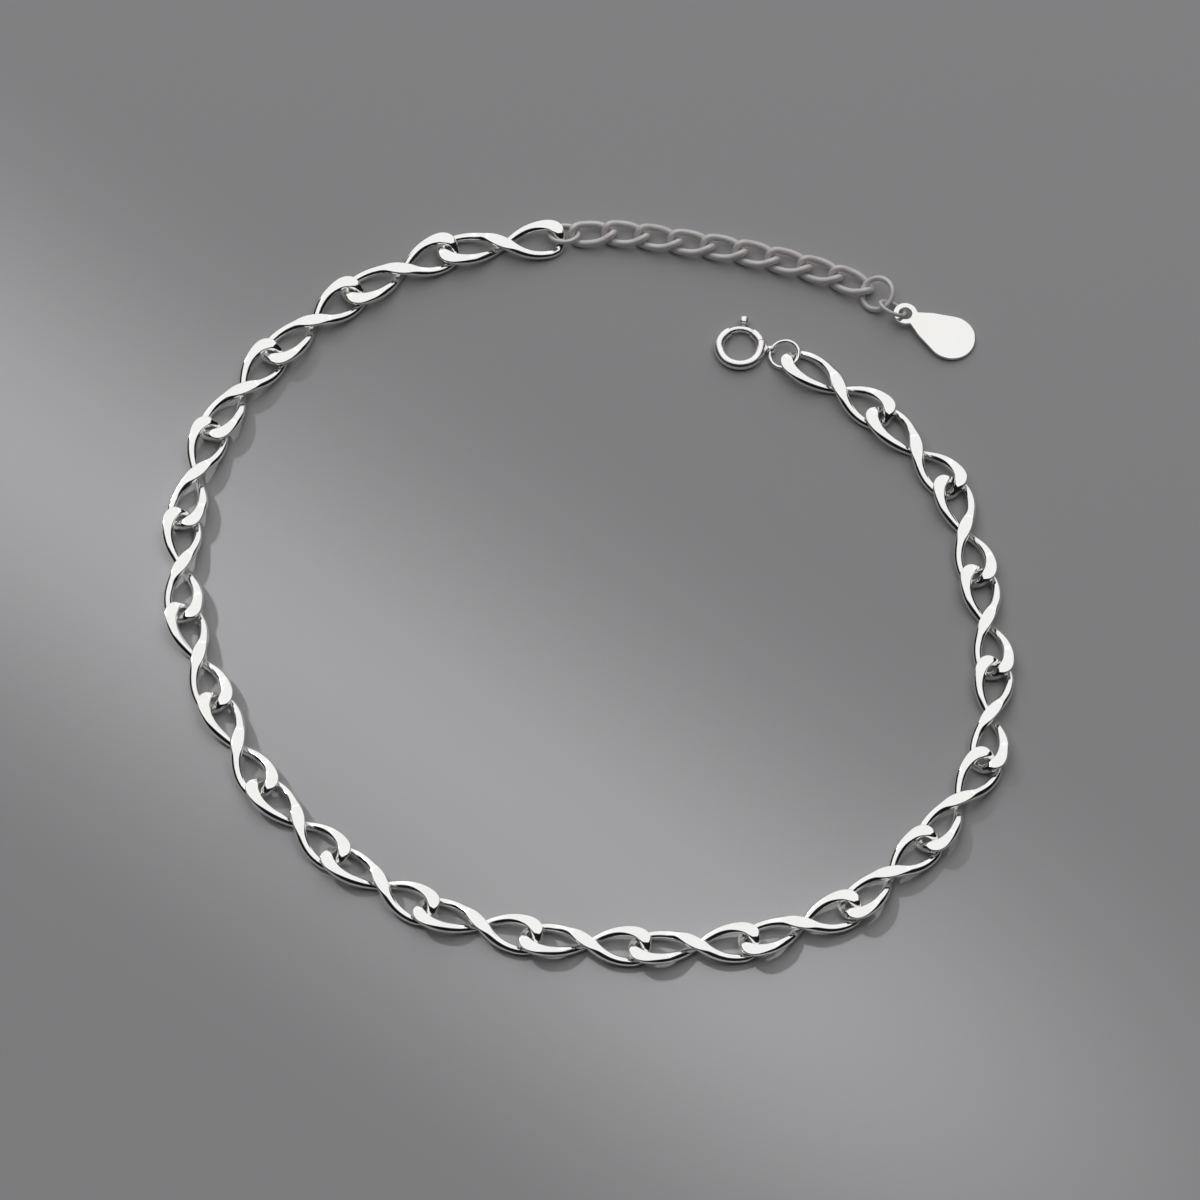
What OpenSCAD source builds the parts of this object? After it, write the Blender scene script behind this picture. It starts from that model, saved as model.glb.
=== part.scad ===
// Anklet: a chain of twenty-one flattened figure-eight links that lies as a whole loop, with a
// spring ring clasp at one end and, at the other, a short extender with a teardrop tag.
// Millimetres, z = 0 is the surface that it lies on, x to the right and y away from the viewer.

/* [Figure-eight chain] */
// Distance between the joints of neighbouring links
link_pitch = 10.5; // [10.3:0.05:11]
// How far the end of a link's centre line reaches past the joint
link_reach = 0.63; // [0.58:0.01:0.7]
// Half the width of a lobe, to the wire's centre line
lobe_half_width = 1.52; // [1.45:0.01:1.6]
// Half the width of the wire where it runs low
wire_low_half_width = 0.43; // [0.36:0.01:0.44]
// Half the width of the wire where it runs high
wire_high_half_width = 0.63; // [0.5:0.01:0.64]
// Half the thickness of the wire where it runs low
wire_low_half_height = 0.39; // [0.38:0.01:0.4]
// Half the thickness that the wire would have where it runs high, before it is ground flat
wire_high_half_height = 0.52; // [0.5:0.01:0.53]
// Height of a link, from the flats underneath to the ground flats on top
link_height = 1.65; // [1.6:0.01:1.75]

/* [Spring ring clasp] */
// Radius of the clasp's centre line
clasp_radius = 2.05; // [2.0:0.01:2.2]
// Radius of the clasp's tube
tube_radius = 0.5; // [0.48:0.01:0.52]
// Radius of the bore in the tube
bore_radius = 0.38; // [0.37:0.01:0.39]
// Radius of the bolt, which runs in the bore
bolt_radius = 0.33; // [0.3:0.01:0.34]
// Diameter of the trigger knob
knob_d = 0.96; // [0.7:0.02:0.96]
// Angle that the bolt slides through
bolt_travel = 62; // [40:1:62]

/* [Extender] */
// Distance between neighbouring links of the extender
extender_pitch = 3.27; // [3.25:0.01:3.3]
// Half the width of an extender link, to the wire's centre line
extender_half_width = 1.1; // [1.08:0.01:1.15]
// Radius of the extender's wire
extender_wire_radius = 0.35; // [0.33:0.01:0.35]
// Height of the twist in an extender link
extender_twist = 0.40; // [0.4:0.01:0.42]

/* [Small rings] */
// Radius of the wire of the clasp's jump ring
clasp_jump_ring_wire_radius = 0.2; // [0.17:0.01:0.2]
// Radius of the wire of the tag's jump ring
tag_ring_wire_radius = 0.195; // [0.17:0.005:0.195]
// Radius of the wire of the ring between the chain and the extender
extender_ring_wire_radius = 0.235; // [0.2:0.005:0.24]
// Radius of the wire of the extender's last link
end_link_wire_radius = 0.28; // [0.25:0.01:0.28]

/* [Teardrop tag] */
// Thickness of the tag
tag_thickness = 0.36; // [0.3:0.02:0.4]
// Radius of the tag's round end
tag_round_radius = 2.4; // [2:0.1:2.6]
// Radius of the hole in the tag's eye
eye_hole_radius = 0.62; // [0.6:0.01:0.65]

/* [Hidden] */

// Steps round a full circle
$fn = 48;

// Colours, as the photograph shows them
bright_silver = [0.93, 0.93, 0.92];
dull_silver = [0.70, 0.70, 0.70];

// How the chain lies: where it starts, and each link's heading in degrees from the clasp round
chain_start = [20.35, 25.84];
link_headings = [-37, -50, -76, -82, -95, -123, -136, -159, -177, -186, -197,
    -214, -227, -244, -252, -269, -285, -304, -318, -332, -353];

// How the extender lies
extender_start = [-1.10, 40.33];
extender_headings = [4, -6, -11, -10, -11, -15, -16, -20, -26];

// The joint before link k of a string of links, counted from 0
function joint(start, headings, pitch, k) =
    k == 0 ? start
    : joint(start, headings, pitch, k - 1) + pitch * [cos(headings[k - 1]), sin(headings[k - 1])];

// Puts a link, modelled about its own middle along x, in its place in a string of links
module lay_link(start, headings, pitch, k, height) {
    middle = (joint(start, headings, pitch, k) + joint(start, headings, pitch, k + 1)) / 2;
    translate([middle[0], middle[1], height]) rotate([0, 0, headings[k]]) children();
}

// A closed wire: a solid through rings of section points, each ring joined to the next
module closed_wire(rings) {
    sides = len(rings[0]);
    count = len(rings);
    points = [for (ring = rings) each ring];
    faces = [for (a = [0 : count - 1], q = [0 : sides - 1])
        let (b = (a + 1) % count, s = (q + 1) % sides)
        each [[a * sides + q, b * sides + q, b * sides + s],
            [a * sides + q, b * sides + s, a * sides + s]]];
    polyhedron(points, faces);
}

// Figure-eight link: the wire's height goes up and down three times in one trip round the eight,
// so that the two strands clear each other at the crossing and each tip slopes from high to low.
ring_count = 36;
end_reach = link_pitch / 2 + link_reach;
strand_low = -0.51;
strand_high = 0.66;
top_flat = 0.85;
bottom_flat = top_flat - link_height;
wave_lead = 24;
wave_softness = 1.2;
lobe_skew = 0.05;
lobe_squareness = 0.05;
section_corner = sin(60);

function wave(t) =
    let (u = 3 * t + wave_lead * sin(4 * t))
    cos(u) / sqrt(pow(cos(u), 2) + pow(wave_softness * sin(u), 2));

function wave_slope(t) = (wave(t + 0.05) - wave(t - 0.05)) / 0.1 * 180 / PI;

// How far the strand swings to the side, and how fast; the small terms make the lobes rounder
function lobe_swing(t) = sin(2 * t) + lobe_skew * sin(4 * t) + lobe_squareness * sin(6 * t);

function lobe_swing_rate(t) =
    2 * cos(2 * t) + 4 * lobe_skew * cos(4 * t) + 6 * lobe_squareness * cos(6 * t);

function blend(low, high, share) = low + (high - low) * share;

// Half the width of the oval section at a height dz above its centre
function width_at(half_width, half_height, dz) = half_width * sqrt(1 - pow(dz / half_height, 2));

// The six corners of the wire's section at t degrees round the eight
function link_section(t) =
    let (share = (wave(t) + 1) / 2,
        centre = [end_reach * sin(t), -lobe_half_width * lobe_swing(t)],
        run = [end_reach * cos(t), -lobe_half_width * lobe_swing_rate(t)],
        side = [-run[1], run[0]] / norm(run),
        climb = (strand_high - strand_low) / 2 * wave_slope(t) / norm(run),
        z = blend(strand_low, strand_high, share),
        half_width = blend(wire_low_half_width, wire_high_half_width, share),
        half_height = blend(wire_low_half_height, wire_high_half_height, share)
            * sqrt(1 + climb * climb),
        top = min(top_flat, z + section_corner * half_height),
        bottom = max(bottom_flat, z - section_corner * half_height),
        top_width = width_at(half_width, half_height, top - z),
        bottom_width = width_at(half_width, half_height, bottom - z))
    [for (corner = [[top_width, top], [-top_width, top], [-half_width, z],
            [-bottom_width, bottom], [bottom_width, bottom], [half_width, z]])
        let (p = centre + corner[0] * side)
        [p[0], p[1], corner[1]]];

module figure_link(k) {
    color(bright_silver)
        lay_link(chain_start, link_headings, link_pitch, k - 1, -bottom_flat)
            closed_wire([for (n = [0 : ring_count - 1]) link_section(360 * n / ring_count)]);
}

// Extender link: a twisted oval of round wire
extender_ring_count = 18;
extender_sides = 6;
extender_skew = 0.3;
extender_half_length = extender_pitch / 2 + extender_wire_radius + 0.1;

// The twist's rise and fall round the link; the small term makes the crossings steeper
function extender_rise(t) = extender_twist * (sin(2 * t) + extender_skew * sin(4 * t));

extender_height = max([for (t = [0 : 90]) extender_rise(t)]) + extender_wire_radius;

function unit(v) = v / norm(v);

function extender_section(t) =
    let (centre = [extender_half_length * cos(t), extender_half_width * sin(t),
            -extender_rise(t)],
        run = unit([-extender_half_length * sin(t), extender_half_width * cos(t),
            -2 * extender_twist * (cos(2 * t) + 2 * extender_skew * cos(4 * t))]),
        side = unit(cross([0, 0, 1], run)),
        up = cross(run, side))
    [for (n = [0 : extender_sides - 1])
        let (angle = 360 * (n + 0.5) / extender_sides)
        centre + extender_wire_radius * (cos(angle) * side + sin(angle) * up)];

module extender_link(k) {
    color(dull_silver)
        lay_link(extender_start, extender_headings, extender_pitch, k - 1, extender_height)
            closed_wire([for (n = [0 : extender_ring_count - 1])
                extender_section(360 * n / extender_ring_count)]);
}

// Where each small ring lies: its centre, its lean about x and about y, its centre line's radius
extender_ring_place = [[-2.29, 40.41, 0.796], [-23.3, -1.3], 1.41];
end_link_place = [[28.47, 33.345, 0.995], [17.6, -19.5], 1.585];
tag_ring_place = [[29.95, 31.557, 1.193], [-36.5, 24.2], 1.307];
clasp_jump_ring_place = [[19.31, 26.59, 0.67], [5.0, -12.4], 1.45];

// A round wire ring, leaned about y and then about x
module wire_ring(place, wire_radius) {
    lean = place[1];
    translate(place[0]) rotate([lean[0], 0, 0]) rotate([0, lean[1], 0])
        rotate_extrude() translate([place[2], 0]) circle(wire_radius);
}

module extender_ring() {
    color(dull_silver) wire_ring(extender_ring_place, extender_ring_wire_radius);
}

module end_link() {
    color(dull_silver) wire_ring(end_link_place, end_link_wire_radius);
}

module tag_ring() {
    color(dull_silver) wire_ring(tag_ring_place, tag_ring_wire_radius);
}

module clasp_jump_ring() {
    color(bright_silver) wire_ring(clasp_jump_ring_place, clasp_jump_ring_wire_radius);
}

// Spring ring clasp, modelled about its own centre; angles run from x towards y.
// The gate is the gap that the bolt closes.
clasp_centre = [14.98, 27.53];
gate_from = 52;
gate_to = 120;
socket_to = 131;
bolt_tip = 128;
bolt_tail = -15;
bore_from = -135;
// How far the cuts run past the gate's faces, in degrees
past = 1;
knob_angle = 82;
stem_d = 0.34;
slot_width = 0.46;
knob_from = 2.62;
knob_to = 3.42;
stem_half_angle = 5;
slot_from = knob_angle - bolt_travel - stem_half_angle;
lug_angle = -6;
lug_radius = 3.02;
lug_hole_radius = 0.385;
lug_thickness = 0.34;
lug_neck = 0.6;
// The lug's neck narrows from its root in the tube: distance out and width
lug_neck_widths = [[clasp_radius + tube_radius - 0.14, 1.0], [clasp_radius + tube_radius + 0.1, lug_thickness]];

module at_clasp() {
    translate([clasp_centre[0], clasp_centre[1], tube_radius]) children();
}

// A bent round rod about the clasp's axis
module bent_rod(from, to, radius) {
    rotate([0, 0, from]) rotate_extrude(angle = to - from)
        translate([clasp_radius, 0]) circle(radius);
}

module clasp_lug() {
    rotate([0, 0, lug_angle]) {
        translate([lug_radius, 0, 0]) rotate([90, 0, 0])
            cylinder(r = tube_radius, h = lug_thickness, center = true);
        hull() for (row = lug_neck_widths)
            translate([row[0], -row[1] / 2, -lug_neck / 2]) cube([0.05, row[1], lug_neck]);
    }
}

module clasp_ring() {
    color(bright_silver) at_clasp() difference() {
        union() {
            bent_rod(gate_to, 360 + gate_from, tube_radius);
            clasp_lug();
        }
        bent_rod(bore_from, gate_from + past, bore_radius);
        bent_rod(gate_to - past, socket_to, bore_radius);
        rotate([0, 0, slot_from]) rotate_extrude(angle = gate_from + past - slot_from)
            translate([clasp_radius, -slot_width / 2]) square([2 * tube_radius, slot_width]);
        rotate([0, 0, lug_angle]) translate([lug_radius, 0, 0]) rotate([90, 0, 0])
            cylinder(r = lug_hole_radius, h = 2 * lug_thickness, center = true);
    }
}

module clasp_bolt() {
    color(bright_silver) at_clasp() {
        bent_rod(bolt_tail, bolt_tip, bolt_radius);
        rotate([0, 0, knob_angle]) rotate([0, 90, 0]) {
            translate([0, 0, clasp_radius])
                cylinder(d = stem_d, h = (knob_from + knob_to) / 2 - clasp_radius);
            translate([0, 0, knob_from])
                cylinder(d = knob_d, h = knob_to - knob_from);
        }
    }
}

// Teardrop tag: the eye at its own origin, the round end along x and low
tag_eye = [31.214, 31.077];
tag_heading = -29;
tag_tilt = 5.5;
eye_radius = 1.2;
tag_length = 7.52;
// Circles that the teardrop's outline wraps: distance from the eye and radius
teardrop_circles = [[1.2, 0.8], [2.9, 1.62], [tag_length - tag_round_radius, tag_round_radius]];

module tag_outline() {
    difference() {
        union() {
            circle(eye_radius);
            hull() for (row = teardrop_circles) translate([row[0], 0]) circle(row[1]);
        }
        circle(eye_hole_radius);
    }
}

module drop_tag() {
    color(bright_silver)
        translate([tag_eye[0], tag_eye[1], tag_length * sin(tag_tilt)])
            rotate([0, tag_tilt, tag_heading]) linear_extrude(tag_thickness) tag_outline();
}

clasp_ring();
clasp_bolt();
clasp_jump_ring();
figure_link(1);  // figure_link_01
figure_link(2);  // figure_link_02
figure_link(3);  // figure_link_03
figure_link(4);  // figure_link_04
figure_link(5);  // figure_link_05
figure_link(6);  // figure_link_06
figure_link(7);  // figure_link_07
figure_link(8);  // figure_link_08
figure_link(9);  // figure_link_09
figure_link(10);  // figure_link_10
figure_link(11);  // figure_link_11
figure_link(12);  // figure_link_12
figure_link(13);  // figure_link_13
figure_link(14);  // figure_link_14
figure_link(15);  // figure_link_15
figure_link(16);  // figure_link_16
figure_link(17);  // figure_link_17
figure_link(18);  // figure_link_18
figure_link(19);  // figure_link_19
figure_link(20);  // figure_link_20
figure_link(21);  // figure_link_21
extender_ring();
extender_link(1);  // extender_link_01
extender_link(2);  // extender_link_02
extender_link(3);  // extender_link_03
extender_link(4);  // extender_link_04
extender_link(5);  // extender_link_05
extender_link(6);  // extender_link_06
extender_link(7);  // extender_link_07
extender_link(8);  // extender_link_08
extender_link(9);  // extender_link_09
end_link();
tag_ring();
drop_tag();
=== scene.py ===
"""Anklet of figure-eight links with a spring ring clasp and an extender: looks, light and camera.

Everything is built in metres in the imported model's frame. The object's named lengths are in
millimetres, as it is measured, and MM turns them into metres. Its named angles are in degrees,
apart from those that math.radians turns at once.
"""
import math

import bpy
from mathutils import Matrix, Vector


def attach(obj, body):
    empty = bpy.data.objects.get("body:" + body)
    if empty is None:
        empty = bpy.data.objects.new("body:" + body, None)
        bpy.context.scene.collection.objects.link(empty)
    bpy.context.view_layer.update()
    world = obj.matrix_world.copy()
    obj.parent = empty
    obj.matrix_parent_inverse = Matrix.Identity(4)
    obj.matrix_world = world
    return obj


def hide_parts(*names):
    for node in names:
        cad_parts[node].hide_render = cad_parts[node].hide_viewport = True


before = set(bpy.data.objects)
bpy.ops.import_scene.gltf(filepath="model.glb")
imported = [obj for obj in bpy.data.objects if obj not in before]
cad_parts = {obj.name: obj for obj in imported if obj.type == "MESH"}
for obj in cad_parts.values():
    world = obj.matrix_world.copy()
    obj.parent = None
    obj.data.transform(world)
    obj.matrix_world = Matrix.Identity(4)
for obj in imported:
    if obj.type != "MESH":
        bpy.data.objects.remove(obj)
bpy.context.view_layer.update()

MM = 0.001

# How the chain lies: where it starts, and each link's heading from the clasp round
CHAIN_START = (20.35, 25.84)
CHAIN_HEADINGS = (-37, -50, -76, -82, -95, -123, -136, -159, -177, -186, -197,
                  -214, -227, -244, -252, -269, -285, -304, -318, -332, -353)
# Distance between the joints of neighbouring links
LINK_PITCH = 10.5

# How the extender lies
EXTENDER_START = (-1.10, 40.33)
EXTENDER_HEADINGS = (4, -6, -11, -10, -11, -15, -16, -20, -26)
EXTENDER_PITCH = 3.27

# How far the end of a figure-eight link's centre line reaches past the joint
LINK_REACH = 0.63
# Half the width of a lobe, to the wire's centre line, and two small terms that make it rounder
LOBE_HALF_WIDTH = 1.52
LOBE_SKEW = 0.05
LOBE_SQUARENESS = 0.05
# Half the wire's width and half its height, where it runs low and where it runs high
LOW_HALF_WIDTH = 0.43
HIGH_HALF_WIDTH = 0.63
LOW_HALF_HEIGHT = 0.39
HIGH_HALF_HEIGHT = 0.52
# Height of a link, and where its ground flats lie, from the level that the wire winds about
LINK_HEIGHT = 1.65
TOP_FLAT = 0.85
BOTTOM_FLAT = TOP_FLAT - LINK_HEIGHT
# Lowest and highest place of the wire's centre line, from the same level
STRAND_LOW = -0.51
STRAND_HIGH = 0.66
# How the wire's height runs round the eight: the lead of its waves, and how soft their tops are
WAVE_LEAD = math.radians(24)
WAVE_SOFTNESS = 1.2
# Step over which the slope of the waves is measured, in radians
SLOPE_STEP = 0.001
# The narrowest flat, as the angle of its edge on the section, and the rounding of the change to it
LEAST_FLAT = math.radians(80)
FLAT_BLEND = 0.13
# Where a section's points lie across the flat, as shares of its width
FLAT_SHARES = (0.0, 0.05, 0.3, 0.7, 0.95, 1.0)
LINK_RINGS = 168
ROUND_SIDES = 16

# The extender's links: radius of the wire, half the width to its centre line, play past the wire
EXTENDER_WIRE = 0.35
EXTENDER_HALF_WIDTH = 1.1
EXTENDER_PLAY = 0.1
# Height of the twist, and a small term that makes the crossings steeper
EXTENDER_TWIST = 0.40
EXTENDER_SKEW = 0.3
EXTENDER_RINGS = 72

# Small rings: centre, lean about x and y, centre line's radius, wire's radius
SMALL_RINGS = {
    "clasp_jump_ring": ((19.31, 26.59, 0.67), (5.0, -12.4), 1.45, 0.2),
    "extender_ring": ((-2.29, 40.41, 0.796), (-23.3, -1.3), 1.41, 0.235),
    "end_link": ((28.47, 33.345, 0.995), (17.6, -19.5), 1.585, 0.28),
    "tag_ring": ((29.95, 31.557, 1.193), (-36.5, 24.2), 1.307, 0.195),
}
RING_STEPS = 96
WIRE_SIDES = 16

# The clasp's tube, about the clasp's own centre. Angles run from x towards y, and the gate is the
# gap that the bolt closes.
CLASP_CENTRE = (14.98, 27.53, 0.5)
CLASP_RADIUS = 2.05
TUBE_RADIUS = 0.5
BORE_RADIUS = 0.38
TUBE_ROUNDING = 0.05
GATE_FROM = 52
GATE_TO = 120
TUBE_STEPS = 80
TUBE_SIDES = 32
# The slot that the trigger's stem runs in
SLOT_FROM = 15
SLOT_HALF_WIDTH = 0.23
SLOT_STEPS = 20
SLOT_SIDES = 28
# The pierced lug, and its distance from the clasp's centre
LUG_ANGLE = -6
LUG_DISTANCE = 3.02
LUG_HOLE_RADIUS = 0.385
LUG_THICKNESS = 0.34
LUG_ROUNDING = 0.05
LUG_STEPS = 48
# The neck between tube and lug: distance out from the tube and half the width there
NECK_ROWS = ((-0.07, 0.5), (-0.02, 0.4), (0.04, 0.28), (0.09, 0.21), (0.13, 0.17))
NECK_HALF_HEIGHT = 0.3
NECK_ROUNDING = 0.08
# The bolt, its stem and its knob
BOLT_RADIUS = 0.33
BOLT_TAIL = -15
BOLT_TIP = 128
BOLT_STEPS = 60
BOLT_SIDES = 24
STEM_RADIUS = 0.17
KNOB_ANGLE = 82
KNOB_RADIUS = 0.48
KNOB_FROM = 2.62
KNOB_TO = 3.42
KNOB_ROUNDING = 0.2
KNOB_SIDES = 28

# The tag: its eye's place, the heading of its round end and its lean
TAG_EYE = (31.214, 31.077)
TAG_HEADING = -29
TAG_TILT = 5.5
TAG_THICKNESS = 0.36
TAG_LENGTH = 7.52
EYE_RADIUS = 1.2
EYE_HOLE_RADIUS = 0.62
EYE_HOLE_SIDES = 48
# Circles that the teardrop's outline wraps: distance from the eye and radius
TEARDROP_CIRCLES = ((1.2, 0.8), (2.9, 1.62), (5.12, 2.4))
TEARDROP_STEPS = 90
TAG_ROUNDING = 0.09
TAG_ROUNDING_STEPS = 3

# Metals: colour, share of it left where it is darkest, roughness, rise of roughness, grain, scratches
METALS = {
    "polished_silver": ((0.93, 0.93, 0.92), (0.97, 0.96, 0.94), 0.08, 0.07, 0.05, 0.04),
    "satin_silver": ((0.96, 0.945, 0.94), (0.98, 0.97, 0.97), 0.24, 0.08, 0.1, 0.04),
    "dull_silver": ((0.86, 0.84, 0.835), (0.95, 0.935, 0.935), 0.68, 0.1, 0.3, 0.06),
}
# Noise scales of the clouds of tone, the scratches and the grain
CLOUD_SCALE = 350
SCRATCH_SCALE = 900
GRAIN_SCALE = 4200
# The part of the clouds' range over which the polish changes
CLOUD_RANGE = (0.3, 0.7)
# How the scratches run and how much longer than wide they are
SCRATCH_TURN = math.radians(25)
SCRATCH_STRETCH = 14
BUMP_DEPTH = 0.02

# The floor, in metres
FLOOR_HALF_SIDE = 2
FLOOR_COLOUR = (0.42, 0.42, 0.43, 1)
FLOOR_ROUGHNESS = 0.6
FLOOR_SHINE = 0.2

# Soft boxes, in metres: place, point that it faces, width, height, radiance
SOFT_BOXES = {
    "softbox_overhead": ((0, 0.385, 1.25), (0, 0.385, 0), 2.2, 1.43, 0.95),
    "softbox_back": ((0, 1.05, 0.70), (0, 0, 0.70), 2.6, 1.10, 0.95),
    "key_strip": ((-0.396, 0.287, 0.369), (-0.031, -0.0045, 0), 0.03, 0.12, 0.70),
}
# The key strip's narrow beam, which draws the bright band on the floor
KEY_SPREAD = math.radians(5)
WORLD_COLOUR = (0.009, 0.009, 0.01, 1)

# The camera: metres, apart from the lens and the sensor
CAMERA_ELEVATION = math.radians(59.6)
CAMERA_DISTANCE = 1.3586
CAMERA_TARGET = Vector((1.25 * MM, -0.93 * MM, 0))
CAMERA_LENS = 420
CAMERA_SENSOR = 36
CAMERA_REACH = 20


# Numbers and outlines

def blend(low, high, share):
    return low + (high - low) * share


def soft_least(a, b, width):
    """The lesser of two values, with a rounded change from one to the other."""
    return (a + b - math.hypot(a - b, width)) / 2


def circle_outline(radius, sides):
    angles = [2 * math.pi * n / sides for n in range(sides)]
    return [(radius * math.cos(angle), radius * math.sin(angle)) for angle in angles]


def rounded_box_outline(half_width, half_height, corner, corner_steps):
    """Points round a rectangle about its middle, with each corner rounded in a few steps."""
    points = []
    for across, up, first in ((1, 1, 0), (-1, 1, 90), (-1, -1, 180), (1, -1, 270)):
        for n in range(corner_steps + 1):
            angle = math.radians(first + 90 * n / corner_steps)
            points.append((across * (half_width - corner) + corner * math.cos(angle),
                           up * (half_height - corner) + corner * math.sin(angle)))
    return points


def rounded_bar(start, end, radius, corner, corner_run, corner_steps, steps):
    """Rows of (place along a bar, radius) with rounded rims; corner_run is the corner in places."""
    rows = []
    for n in range(corner_steps + 1):
        angle = math.pi / 2 * n / corner_steps
        rows.append((start + corner_run * (1 - math.cos(angle)), radius - corner * (1 - math.sin(angle))))
    for n in range(1, steps):
        rows.append((blend(start + corner_run, end - corner_run, n / steps), radius))
    for n in range(corner_steps + 1):
        angle = math.pi / 2 * n / corner_steps
        rows.append((end - corner_run * (1 - math.sin(angle)), radius - corner * (1 - math.cos(angle))))
    return rows


# Rings of points and the meshes through them

def tube_rings(points, runs, radius, sides):
    """Rings of round wire about a line of points, square to each run."""
    rings = []
    for point, run in zip(points, runs):
        run = run.normalized()
        side = Vector((0, 0, 1)).cross(run).normalized()
        up = run.cross(side)
        ring = []
        for n in range(sides):
            angle = 2 * math.pi * (n + 0.5) / sides
            ring.append(point + radius * (math.cos(angle) * side + math.sin(angle) * up))
        rings.append(ring)
    return rings


def arc_rings(radius, wire, start, end, steps, sides):
    """Rings of round wire along an arc about the z axis."""
    points = []
    runs = []
    for n in range(steps):
        t = math.radians(start + (end - start) * n / (steps - 1))
        points.append(Vector((radius * math.cos(t), radius * math.sin(t), 0)))
        runs.append(Vector((-math.sin(t), math.cos(t), 0)))
    return tube_rings(points, runs, wire, sides)


def lathe_rings(rows, sides):
    """Rings about the x axis from rows of (distance along, radius)."""
    return [[Vector((along, y, z)) for y, z in circle_outline(radius, sides)] for along, radius in rows]


def new_object(name, points, faces, material):
    mesh = bpy.data.meshes.new(name)
    mesh.from_pydata(points, [], faces)
    mesh.validate()
    mesh.update()
    mesh.polygons.foreach_set("use_smooth", [True] * len(mesh.polygons))
    obj = bpy.data.objects.new(name, mesh)
    bpy.context.scene.collection.objects.link(obj)
    mesh.materials.append(material)
    return obj


def skin(name, rings, place, material, closed=True):
    """A smooth mesh through rings of points, put in place by a matrix in millimetres."""
    sides = len(rings[0])
    count = len(rings)
    points = [tuple((place @ p) * MM) for ring in rings for p in ring]
    faces = []
    for a in range(count if closed else count - 1):
        b = (a + 1) % count
        for q in range(sides):
            s = (q + 1) % sides
            faces.append((a * sides + q, a * sides + s, b * sides + s, b * sides + q))
    if not closed:
        faces.append(tuple(range(sides - 1, -1, -1)))
        faces.append(tuple((count - 1) * sides + q for q in range(sides)))
    return new_object(name, points, faces, material)


def lay_link(start, headings, pitch, k):
    """The matrix that lays link k, counted from 0, in its string of links."""
    x, y = start
    for heading in headings[:k]:
        x += pitch * math.cos(math.radians(heading))
        y += pitch * math.sin(math.radians(heading))
    turn = math.radians(headings[k])
    middle = (x + pitch / 2 * math.cos(turn), y + pitch / 2 * math.sin(turn), 0)
    return Matrix.Translation(middle) @ Matrix.Rotation(turn, 4, "Z")


def stand_for(piece, node, body):
    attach(piece, body)
    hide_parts(node)


# Materials

def add_noise(tree, place, scale, detail):
    noise = tree.nodes.new("ShaderNodeTexNoise")
    noise.inputs["Scale"].default_value = scale
    noise.inputs["Detail"].default_value = detail
    tree.links.new(place, noise.inputs["Vector"])
    return noise.outputs["Fac"]


def add_bump(tree, height, strength):
    bump = tree.nodes.new("ShaderNodeBump")
    bump.inputs["Strength"].default_value = strength
    bump.inputs["Distance"].default_value = BUMP_DEPTH * MM
    tree.links.new(height, bump.inputs["Height"])
    return bump


def make_metal(name):
    """Metal with cloudy changes of tone and polish, a fine grain and hairline scratches."""
    base, darkest, roughness, roughness_rise, grain, scratches = METALS[name]
    material = bpy.data.materials.new(name)
    material.use_nodes = True
    tree = material.node_tree
    link = tree.links.new
    shader = tree.nodes["Principled BSDF"]
    shader.inputs["Metallic"].default_value = 1.0
    place = tree.nodes.new("ShaderNodeTexCoord").outputs["Object"]
    clouds = add_noise(tree, place, CLOUD_SCALE, detail=3)

    tone = tree.nodes.new("ShaderNodeMix")
    tone.data_type = "RGBA"
    tone.inputs["A"].default_value = (*base, 1)
    tone.inputs["B"].default_value = (*[c * v for c, v in zip(base, darkest)], 1)
    link(clouds, tone.inputs["Factor"])
    link(tone.outputs["Result"], shader.inputs["Base Color"])

    polish = tree.nodes.new("ShaderNodeMapRange")
    polish.inputs["From Min"].default_value = CLOUD_RANGE[0]
    polish.inputs["From Max"].default_value = CLOUD_RANGE[1]
    polish.inputs["To Min"].default_value = roughness
    polish.inputs["To Max"].default_value = roughness + roughness_rise
    link(clouds, polish.inputs["Value"])
    link(polish.outputs["Result"], shader.inputs["Roughness"])

    stretch = tree.nodes.new("ShaderNodeMapping")
    stretch.inputs["Rotation"].default_value = (0, 0, SCRATCH_TURN)
    stretch.inputs["Scale"].default_value = (1, SCRATCH_STRETCH, 1)
    link(place, stretch.inputs["Vector"])
    scratch_lines = add_noise(tree, stretch.outputs["Vector"], SCRATCH_SCALE, detail=2)
    scratch_bump = add_bump(tree, scratch_lines, scratches)
    grain_bump = add_bump(tree, add_noise(tree, place, GRAIN_SCALE, detail=3), grain)
    link(scratch_bump.outputs["Normal"], grain_bump.inputs["Normal"])
    link(grain_bump.outputs["Normal"], shader.inputs["Normal"])
    return material


def make_floor_material():
    material = bpy.data.materials.new("studio_floor")
    material.use_nodes = True
    shader = material.node_tree.nodes["Principled BSDF"]
    shader.inputs["Base Color"].default_value = FLOOR_COLOUR
    shader.inputs["Roughness"].default_value = FLOOR_ROUGHNESS
    shader.inputs["Specular IOR Level"].default_value = FLOOR_SHINE
    return material


# The chain

def wave(t):
    """Runs between -1 and 1 three times in one trip round the eight."""
    u = 3 * t + WAVE_LEAD * math.sin(4 * t)
    return math.cos(u) / math.hypot(math.cos(u), WAVE_SOFTNESS * math.sin(u))


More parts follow.
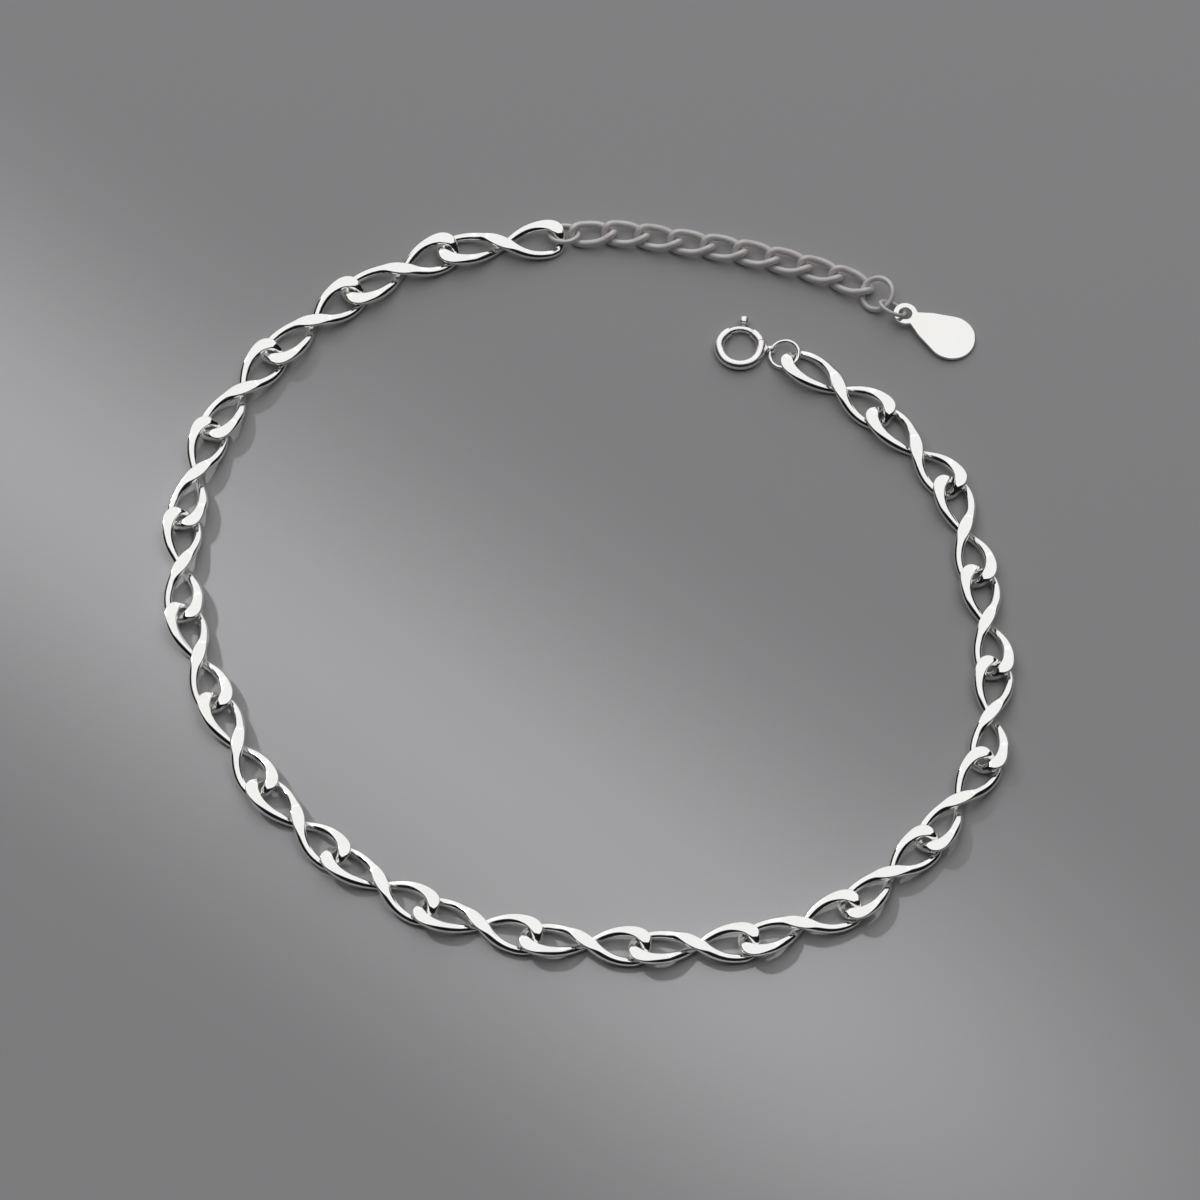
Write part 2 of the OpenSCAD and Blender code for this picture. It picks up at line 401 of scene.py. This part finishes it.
def flat_and_round(half_width, half_height, z):
    """Section of a wire ground flat on top: points across the flat, then round the rest."""
    flat_rise = soft_least(half_height * math.sin(LEAST_FLAT), TOP_FLAT - z, FLAT_BLEND)
    crease = math.asin(flat_rise / half_height)
    points = []
    for share in FLAT_SHARES:
        across = half_width * math.cos(crease) * (1 - 2 * share)
        points.append((across, z + half_height * math.sin(crease)))
    for n in range(1, ROUND_SIDES):
        angle = math.pi - crease + (math.pi + 2 * crease) * n / ROUND_SIDES
        points.append((half_width * math.cos(angle), max(BOTTOM_FLAT, z + half_height * math.sin(angle))))
    return points


def figure_eight_rings():
    """The rings of section points round one figure-eight link, about the link's own middle."""
    reach = LINK_PITCH / 2 + LINK_REACH
    rings = []
    for n in range(LINK_RINGS):
        t = 2 * math.pi * n / LINK_RINGS
        share = (wave(t) + 1) / 2
        swing = math.sin(2 * t) + LOBE_SKEW * math.sin(4 * t) + LOBE_SQUARENESS * math.sin(6 * t)
        swing_rate = (2 * math.cos(2 * t) + 4 * LOBE_SKEW * math.cos(4 * t)
                      + 6 * LOBE_SQUARENESS * math.cos(6 * t))
        centre = Vector((reach * math.sin(t), -LOBE_HALF_WIDTH * swing))
        run = Vector((reach * math.cos(t), -LOBE_HALF_WIDTH * swing_rate))
        side = Vector((-run.y, run.x)).normalized()
        slope = (wave(t + SLOPE_STEP) - wave(t - SLOPE_STEP)) / (2 * SLOPE_STEP)
        climb = (STRAND_HIGH - STRAND_LOW) / 2 * slope / run.length
        half_height = blend(LOW_HALF_HEIGHT, HIGH_HALF_HEIGHT, share) * math.hypot(1, climb)
        section = flat_and_round(blend(LOW_HALF_WIDTH, HIGH_HALF_WIDTH, share), half_height,
                                 blend(STRAND_LOW, STRAND_HIGH, share))
        ring = []
        for across, z in section:
            p = centre + across * side
            ring.append(Vector((p.x, p.y, z - BOTTOM_FLAT)))
        rings.append(ring)
    return rings


def make_chain():
    rings = figure_eight_rings()
    for k in range(len(CHAIN_HEADINGS)):
        node = "figure_link_%02d" % (k + 1)
        place = lay_link(CHAIN_START, CHAIN_HEADINGS, LINK_PITCH, k)
        stand_for(skin(node + "_wire", rings, place, polished), node, "anklet")


# The extender

def extender_rise(t):
    """The twist's rise and fall round an extender link."""
    return EXTENDER_TWIST * (math.sin(2 * t) + EXTENDER_SKEW * math.sin(4 * t))


def extender_rings():
    """The rings of round wire round one twisted oval link, about the link's own middle."""
    half_length = EXTENDER_PITCH / 2 + EXTENDER_WIRE + EXTENDER_PLAY
    height = max(extender_rise(math.radians(t)) for t in range(91)) + EXTENDER_WIRE
    points = []
    runs = []
    for n in range(EXTENDER_RINGS):
        t = 2 * math.pi * n / EXTENDER_RINGS
        points.append(Vector((half_length * math.cos(t), EXTENDER_HALF_WIDTH * math.sin(t),
                              height - extender_rise(t))))
        slope = -2 * EXTENDER_TWIST * (math.cos(2 * t) + 2 * EXTENDER_SKEW * math.cos(4 * t))
        runs.append(Vector((-half_length * math.sin(t), EXTENDER_HALF_WIDTH * math.cos(t), slope)))
    return tube_rings(points, runs, EXTENDER_WIRE, WIRE_SIDES)


def make_extender():
    rings = extender_rings()
    for k in range(len(EXTENDER_HEADINGS)):
        node = "extender_link_%02d" % (k + 1)
        place = lay_link(EXTENDER_START, EXTENDER_HEADINGS, EXTENDER_PITCH, k)
        stand_for(skin(node + "_wire", rings, place, dull), node, "anklet")


# The small rings

def make_small_rings():
    last = 360 - 360 / RING_STEPS
    for node, (centre, lean, radius, wire) in SMALL_RINGS.items():
        place = (Matrix.Translation(centre) @ Matrix.Rotation(math.radians(lean[0]), 4, "X")
                 @ Matrix.Rotation(math.radians(lean[1]), 4, "Y"))
        is_bright = node == "clasp_jump_ring"
        rings = arc_rings(radius, wire, 0, last, RING_STEPS, WIRE_SIDES)
        piece = skin(node + "_wire", rings, place, polished if is_bright else dull)
        stand_for(piece, node, "anklet")


# The clasp's bolt with its stem and knob

def make_bolt():
    rings = arc_rings(CLASP_RADIUS, BOLT_RADIUS, BOLT_TAIL, BOLT_TIP, BOLT_STEPS, BOLT_SIDES)
    rod = skin("clasp_bolt_rod", rings, clasp_place, satin, closed=False)
    stand_for(rod, "clasp_bolt", "clasp_bolt")

    rows = [(CLASP_RADIUS, STEM_RADIUS), (KNOB_FROM, STEM_RADIUS)]
    rows += rounded_bar(KNOB_FROM, KNOB_TO, KNOB_RADIUS, KNOB_ROUNDING, corner_run=KNOB_ROUNDING,
                        corner_steps=6, steps=1)
    place = clasp_place @ Matrix.Rotation(math.radians(KNOB_ANGLE), 4, "Z")
    knob = skin("clasp_bolt_knob", lathe_rings(rows, KNOB_SIDES), place, satin, closed=False)
    stand_for(knob, "clasp_bolt", "clasp_bolt")


# The clasp's tube, slotted tube, lug and neck

def bent_section(angle, outline):
    """Puts a section, given as (outwards, up), at an angle round the clasp's axis."""
    t = math.radians(angle)
    return [Vector(((CLASP_RADIUS + u) * math.cos(t), (CLASP_RADIUS + u) * math.sin(t), v))
            for u, v in outline]


def make_tube():
    """The plain stretch of the tube: a bent pipe with rounded outer rims, open at both ends."""
    rim_run = math.degrees(TUBE_ROUNDING / CLASP_RADIUS)
    rows = rounded_bar(GATE_TO, 360 + SLOT_FROM, TUBE_RADIUS, TUBE_ROUNDING, corner_run=rim_run,
                       corner_steps=4, steps=TUBE_STEPS)
    points = []
    for angle, radius in rows:
        for wall in (radius, BORE_RADIUS):
            section = bent_section(angle, circle_outline(wall, TUBE_SIDES))
            points += [tuple((clasp_place @ p) * MM) for p in section]
    faces = []
    for a in range(len(rows) - 1):
        for q in range(TUBE_SIDES):
            s = (q + 1) % TUBE_SIDES
            here = 2 * a * TUBE_SIDES
            there = 2 * (a + 1) * TUBE_SIDES
            faces.append((here + q, there + q, there + s, here + s))
            here += TUBE_SIDES
            there += TUBE_SIDES
            faces.append((here + q, here + s, there + s, there + q))
    last = 2 * (len(rows) - 1) * TUBE_SIDES
    for q in range(TUBE_SIDES):
        s = (q + 1) % TUBE_SIDES
        faces.append((q, s, TUBE_SIDES + s, TUBE_SIDES + q))
        faces.append((last + q, last + TUBE_SIDES + q, last + TUBE_SIDES + s, last + s))
    return new_object("clasp_ring_tube", points, faces, satin)


def slotted_outline():
    """Section of the tube with the slot in its outer side: round the outside, back round the bore."""
    points = []
    for wall, goes_back in ((TUBE_RADIUS, False), (BORE_RADIUS, True)):
        edge = math.asin(SLOT_HALF_WIDTH / wall)
        for n in range(SLOT_SIDES + 1):
            share = 1 - n / SLOT_SIDES if goes_back else n / SLOT_SIDES
            angle = blend(edge, 2 * math.pi - edge, share)
            points.append((wall * math.cos(angle), wall * math.sin(angle)))
    return points


def make_slotted_tube():
    outline = slotted_outline()
    rings = [bent_section(blend(SLOT_FROM, GATE_FROM, n / SLOT_STEPS), outline)
             for n in range(SLOT_STEPS + 1)]
    return skin("clasp_ring_slotted_tube", rings, clasp_place, satin, closed=False)


def make_lug():
    """The flat eye, with a rounded section that goes round the eye's own axis along y."""
    middle = (TUBE_RADIUS + LUG_HOLE_RADIUS) / 2
    half_wall = (TUBE_RADIUS - LUG_HOLE_RADIUS) / 2
    outline = rounded_box_outline(half_wall, LUG_THICKNESS / 2, LUG_ROUNDING, corner_steps=4)
    rings = []
    for n in range(LUG_STEPS):
        t = 2 * math.pi * n / LUG_STEPS
        rings.append([Vector(((middle + u) * math.cos(t), v, (middle + u) * math.sin(t)))
                      for u, v in outline])
    return skin("clasp_ring_lug", rings, lug_place @ Matrix.Translation((LUG_DISTANCE, 0, 0)), satin)


def make_neck():
    rings = []
    for out, half_width in NECK_ROWS:
        outline = rounded_box_outline(half_width, NECK_HALF_HEIGHT, NECK_ROUNDING, corner_steps=3)
        along = CLASP_RADIUS + TUBE_RADIUS + out
        rings.append([Vector((along, across, up)) for across, up in outline])
    return skin("clasp_ring_neck", rings, lug_place, satin, closed=False)


def make_clasp_ring():
    for piece in (make_tube(), make_slotted_tube(), make_lug(), make_neck()):
        stand_for(piece, "clasp_ring", "anklet")


# The tag

def half_width_of_teardrop(u):
    """Half the width at u along the tag: the eye's circle, or the line over the teardrop's circles."""
    best = 0.0
    if abs(u) < EYE_RADIUS:
        best = math.sqrt(EYE_RADIUS ** 2 - u ** 2)
    for centre, radius in TEARDROP_CIRCLES:
        if abs(u - centre) < radius:
            best = max(best, math.sqrt(radius ** 2 - (u - centre) ** 2))
    for (c0, r0), (c1, r1) in zip(TEARDROP_CIRCLES, TEARDROP_CIRCLES[1:]):
        lean = (r1 - r0) / (c1 - c0)
        steep = math.sqrt(1 - lean ** 2)
        low, high = c0 - r0 * lean, c1 - r1 * lean
        if low <= u <= high:
            best = max(best, (r0 + lean * (u - c0)) / steep)
    return best


def tag_outline():
    upper = []
    for n in range(TEARDROP_STEPS + 1):
        u = -EYE_RADIUS + (TAG_LENGTH + EYE_RADIUS) * (1 - math.cos(math.pi * n / TEARDROP_STEPS)) / 2
        upper.append((u, half_width_of_teardrop(u)))
    lower = [(u, -v) for u, v in reversed(upper[1:-1])]
    return upper + lower


def make_tag():
    """The tag as a filled outline with a hole, thickened and rounded, then turned into a mesh."""
    curve = bpy.data.curves.new("drop_tag_outline", "CURVE")
    curve.dimensions = "2D"
    curve.fill_mode = "BOTH"
    curve.extrude = (TAG_THICKNESS / 2 - TAG_ROUNDING) * MM
    curve.bevel_depth = TAG_ROUNDING * MM
    curve.bevel_resolution = TAG_ROUNDING_STEPS
    curve.offset = -TAG_ROUNDING * MM
    for points in (tag_outline(), circle_outline(EYE_HOLE_RADIUS, EYE_HOLE_SIDES)):
        spline = curve.splines.new("POLY")
        spline.points.add(len(points) - 1)
        for point, (u, v) in zip(spline.points, points):
            point.co = (u * MM, v * MM, 0, 1)
        spline.use_cyclic_u = True
    holder = bpy.data.objects.new("drop_tag_outline", curve)
    mesh = bpy.data.meshes.new_from_object(holder)
    bpy.data.objects.remove(holder)
    bpy.data.curves.remove(curve)
    tilt = math.radians(TAG_TILT)
    place = (Matrix.Translation((TAG_EYE[0] * MM, TAG_EYE[1] * MM, TAG_LENGTH * math.sin(tilt) * MM))
             @ Matrix.Rotation(math.radians(TAG_HEADING), 4, "Z") @ Matrix.Rotation(tilt, 4, "Y")
             @ Matrix.Translation((0, 0, TAG_THICKNESS / 2 * MM)))
    mesh.transform(place)
    mesh.materials.clear()
    mesh.materials.append(polished)
    plate = bpy.data.objects.new("drop_tag_plate", mesh)
    bpy.context.scene.collection.objects.link(plate)
    stand_for(plate, "drop_tag", "anklet")


# Floor, light and camera

def add_soft_box(name, place, look_at, width, height, radiance):
    """A rectangular area light of even brightness that faces a point."""
    light = bpy.data.lights.new(name, "AREA")
    light.shape = "RECTANGLE"
    light.size = width
    light.size_y = height
    light.energy = radiance * math.pi * width * height
    obj = bpy.data.objects.new(name, light)
    obj.location = place
    aim = Vector(look_at) - Vector(place)
    obj.rotation_euler = aim.to_track_quat("-Z", "Y").to_euler()
    bpy.context.scene.collection.objects.link(obj)
    return light


def light_scene():
    lights = {name: add_soft_box(name, *row) for name, row in SOFT_BOXES.items()}
    lights["key_strip"].spread = KEY_SPREAD
    world = bpy.data.worlds.new("studio")
    world.use_nodes = True
    world.node_tree.nodes["Background"].inputs["Color"].default_value = WORLD_COLOUR
    bpy.context.scene.world = world


def place_camera():
    data = bpy.data.cameras.new("camera")
    data.lens = CAMERA_LENS
    data.sensor_width = CAMERA_SENSOR
    data.clip_end = CAMERA_REACH
    camera = bpy.data.objects.new("camera", data)
    away = Vector((0, -math.cos(CAMERA_ELEVATION), math.sin(CAMERA_ELEVATION)))
    camera.location = CAMERA_TARGET + CAMERA_DISTANCE * away
    camera.rotation_euler = (math.pi / 2 - CAMERA_ELEVATION, 0, 0)
    bpy.context.scene.collection.objects.link(camera)
    bpy.context.scene.camera = camera
    bpy.context.scene.view_settings.view_transform = "Standard"


# The scene

polished = make_metal("polished_silver")
satin = make_metal("satin_silver")
dull = make_metal("dull_silver")

make_chain()
make_extender()
make_small_rings()

clasp_place = Matrix.Translation(CLASP_CENTRE)
lug_place = clasp_place @ Matrix.Rotation(math.radians(LUG_ANGLE), 4, "Z")
make_bolt()
make_clasp_ring()
make_tag()

floor_corners = [(x * FLOOR_HALF_SIDE, y * FLOOR_HALF_SIDE, 0)
                 for x, y in ((-1, -1), (1, -1), (1, 1), (-1, 1))]
floor = new_object("studio_floor", floor_corners, [(0, 1, 2, 3)], make_floor_material())
light_scene()
place_camera()
